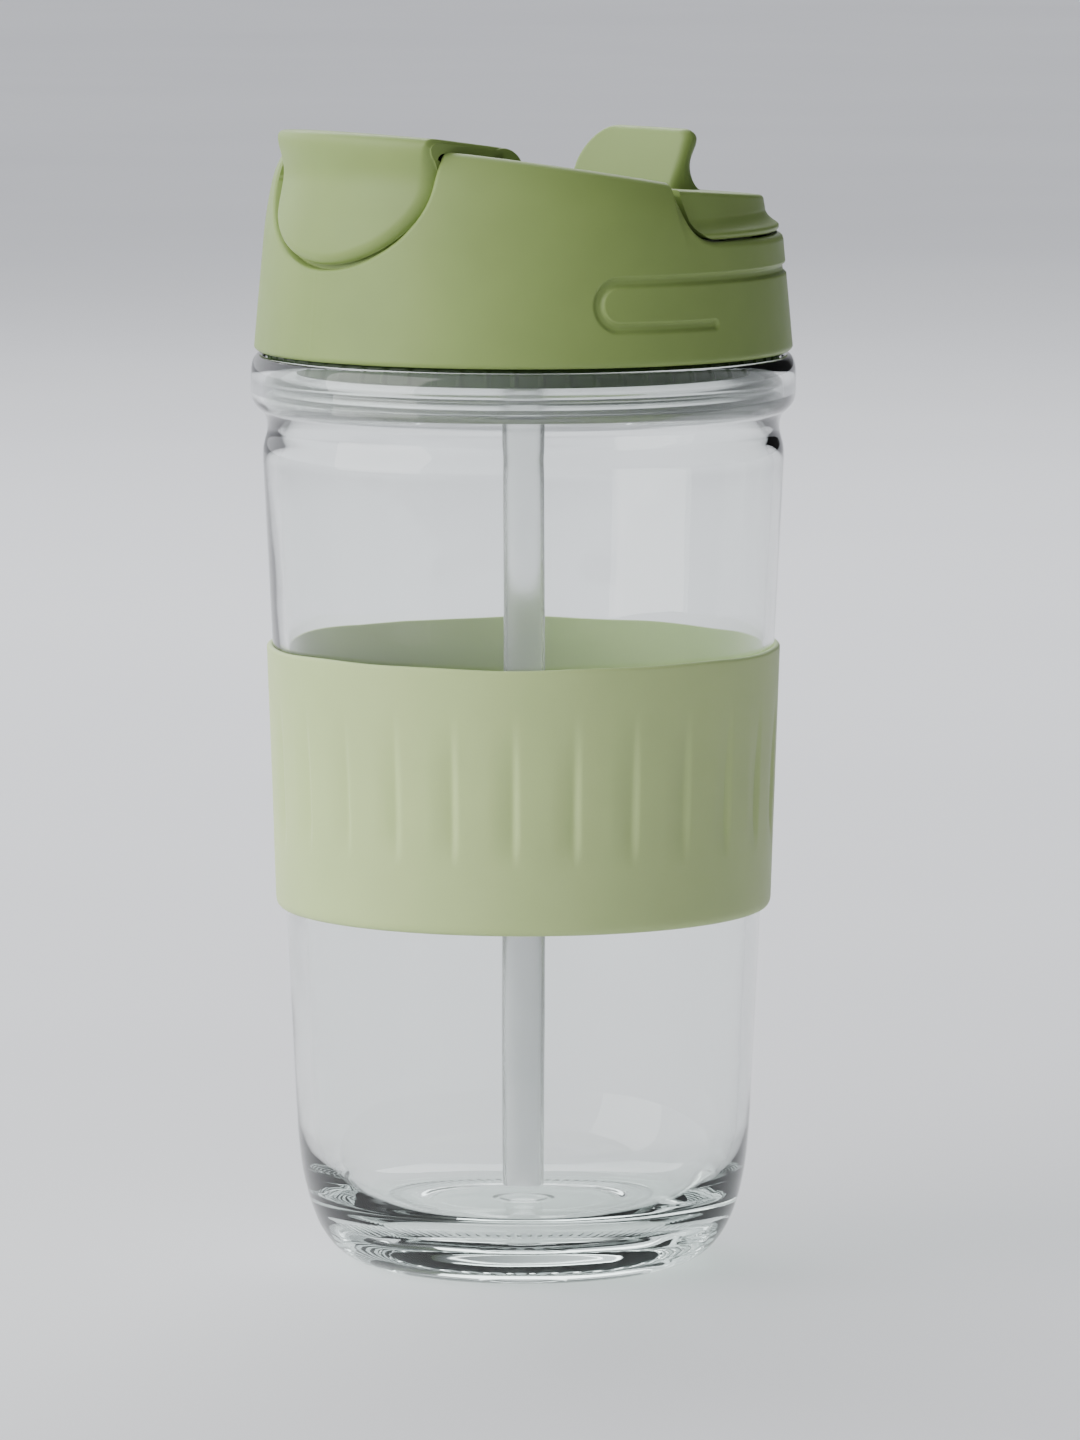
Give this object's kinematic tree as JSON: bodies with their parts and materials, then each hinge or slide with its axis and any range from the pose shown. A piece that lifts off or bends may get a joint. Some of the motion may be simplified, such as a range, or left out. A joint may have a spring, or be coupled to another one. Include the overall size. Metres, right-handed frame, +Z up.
{
  "type": "glass tumbler with two-way lid",
  "caption": "Single-wall glass tumbler with a silicone grip sleeve and a green lid that has a front sipping flap and a rear straw hatch.",
  "frame": {"origin": "centre of the base, on the plane that the tumbler stands on", "axes": "+Z up along the tumbler's axis, the sipping side of the lid faces -Y, both hinge pins run along X"},
  "size_m": [0.0848, 0.0848, 0.1788],
  "materials": {
    "clear_glass": "clear pressed glass, faint green tint",
    "green_silicone": "soft matte silicone",
    "green_plastic": "satin moulded polypropylene",
    "dark_green_plastic": "satin moulded polypropylene",
    "clear_silicone": "translucent silicone",
    "steel": "drawn stainless wire",
    "frosted_plastic": "frosted translucent polypropylene"
  },
  "bodies": {
    "tumbler": {"glass_tumbler": "clear_glass", "silicone_sleeve": "green_silicone"},
    "lid": {"lid_shell": "green_plastic", "lid_deck": "green_plastic", "lid_collar": "dark_green_plastic", "lid_seal_ring": "clear_silicone", "sip_flap_pin": "steel", "straw_hatch_pin": "steel", "straw_mouthpiece": "clear_silicone", "drinking_straw": "frosted_plastic"},
    "sip_flap": {"sip_flap": "green_plastic", "sip_pad": "clear_silicone"},
    "straw_hatch": {"straw_hatch": "green_plastic", "hatch_pad": "clear_silicone"}
  },
  "joints": [
    {"name": "lid_lift", "type": "slide", "parent": "tumbler", "child": "lid", "axis": [0, 0, 1], "range_m": [0, 0.165]},
    {"name": "sip_flap_hinge", "type": "hinge", "parent": "lid", "child": "sip_flap", "pos_m": [0, -0.0195, 0.1716], "axis": [-1, 0, 0], "range_deg": [0, 75]},
    {"name": "straw_hatch_hinge", "type": "hinge", "parent": "lid", "child": "straw_hatch", "pos_m": [0, -0.0095, 0.168], "axis": [1, 0, 0], "range_deg": [0, 70]}
  ]
}
